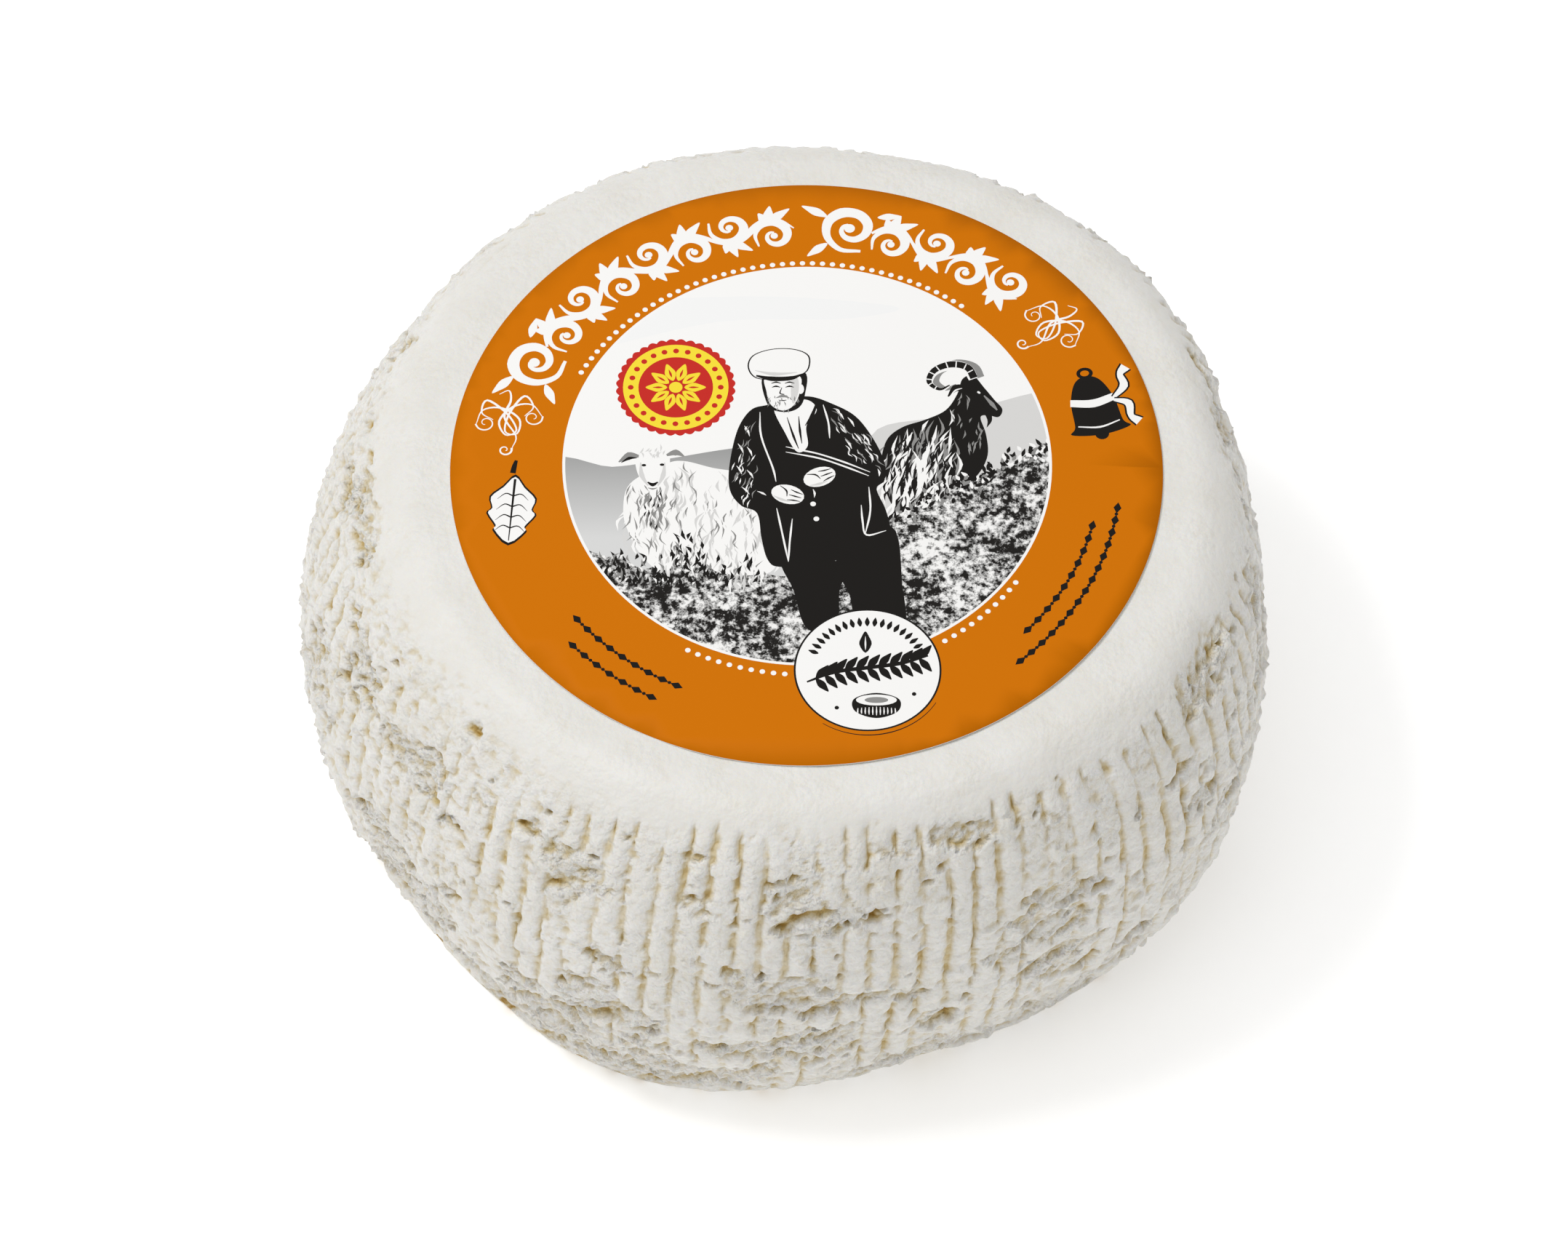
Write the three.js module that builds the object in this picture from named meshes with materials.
// A wheel of fresh whey cheese, turned out of a draining basket, with a round printed paper label
// lying on its top. The wheel is one piece: a low drum that swells from its foot to its widest
// place and rolls over softly into a flat top. It has settled sideways while it drained, so its
// top lies off to one side of its foot, and it is out of round, most at the foot, where its own
// weight has pressed it flat in places.
//
// Millimetres, +Z up. The origin is the centre of the flat foot that the wheel stands on, and +Y
// is the top of the label's picture.

import * as THREE from "three";

// The label.
const labelRadius = 54.5;
const labelThickness = 0.25;

// The wheel.
const wheelHeight = 75;
const widestRadius = 75;
const widestHeight = 34; // how far above the foot the wheel is widest
const footTuck = 7.5; // how far the foot's edge is drawn in from the widest place
const footRounding = 3;
const topMargin = 5; // flat cheese left bare round the label
const topShift = 6.4; // how far the top has settled towards +X

// The foot is out of round. Going round it, its radius swells and shrinks in waves of these counts,
// all equally deep, which crest together at one angle from +X, where the foot bulges most.
const bulgeAngle = -30;
const waveCounts = [2, 4, 5];
const waveDepth = 1.4;
const topShare = 0.4; // how much of that is left at the top

// How finely round shapes are stepped.
const wheelSteps = 72;
const labelSteps = 96;
const curveSteps = 6;

const footRadius = widestRadius - footTuck;
const topFlatRadius = labelRadius + topMargin;

// Half of the wheel's section, from the middle of the foot to the middle of the top. The flat foot
// has a rounded edge, which turns until it points at the corner of the parabola that it runs into.
// The parabola is upright at the widest place, where a quarter ellipse takes over the shoulder and
// lies down into the flat top.
function wheelSection() {
  const edge = new THREE.Vector2(footRadius - footRounding, footRounding);
  const corner = new THREE.Vector2(widestRadius, (footRounding + widestHeight) / 2);
  const reach = corner.clone().sub(edge);
  const edgeEnd = reach.angle() - Math.acos(footRounding / reach.length());

  const section = new THREE.Path();
  section.moveTo(0, 0);
  section.lineTo(edge.x, 0);
  section.absarc(edge.x, edge.y, footRounding, -Math.PI / 2, edgeEnd);
  section.quadraticCurveTo(corner.x, corner.y, widestRadius, widestHeight);
  section.absellipse(
    topFlatRadius,
    widestHeight,
    widestRadius - topFlatRadius,
    wheelHeight - widestHeight,
    0,
    Math.PI / 2,
  );
  section.lineTo(0, wheelHeight);
  return section.getPoints(curveSteps);
}

// How much wider than round the foot is at this angle, as a share of its radius.
function swell(angle) {
  const turned = angle - THREE.MathUtils.degToRad(bulgeAngle);
  const waves = waveCounts.reduce((sum, count) => sum + Math.cos(count * turned), 0);
  return (waveDepth / widestRadius) * waves;
}

// A section spun round the Z axis.
function spun(section, steps) {
  return new THREE.LatheGeometry(section, steps).rotateX(Math.PI / 2);
}

// The wheel's section spun round, then made out of round and pushed sideways with height.
function wheelGeometry() {
  const geometry = spun(wheelSection(), wheelSteps);
  const position = geometry.getAttribute("position");
  for (let i = 0; i < position.count; i++) {
    const x = position.getX(i);
    const y = position.getY(i);
    const height = position.getZ(i) / wheelHeight;
    const share = THREE.MathUtils.lerp(1, topShare, height);
    const wider = 1 + share * swell(Math.atan2(y, x));
    position.setXY(i, x * wider + topShift * height, y * wider);
  }
  geometry.computeVertexNormals();
  return geometry;
}

// A thin disc, standing on the plane of its lower face.
function labelGeometry() {
  const section = [
    new THREE.Vector2(0, 0),
    new THREE.Vector2(labelRadius, 0),
    new THREE.Vector2(labelRadius, labelThickness),
    new THREE.Vector2(0, labelThickness),
  ];
  return spun(section, labelSteps);
}

function mesh(name, geometry, color, roughness) {
  const material = new THREE.MeshStandardMaterial({ color, roughness, metalness: 0 });
  const made = new THREE.Mesh(geometry, material);
  made.name = name;
  return made;
}

const wheel = mesh("cheese_wheel", wheelGeometry(), 0xe9e5de, 0.6);
const label = mesh("paper_label", labelGeometry(), 0xd1760d, 0.45);
label.position.set(topShift, 0, wheelHeight);

const cheese = new THREE.Group();
cheese.add(wheel, label);

export default cheese;
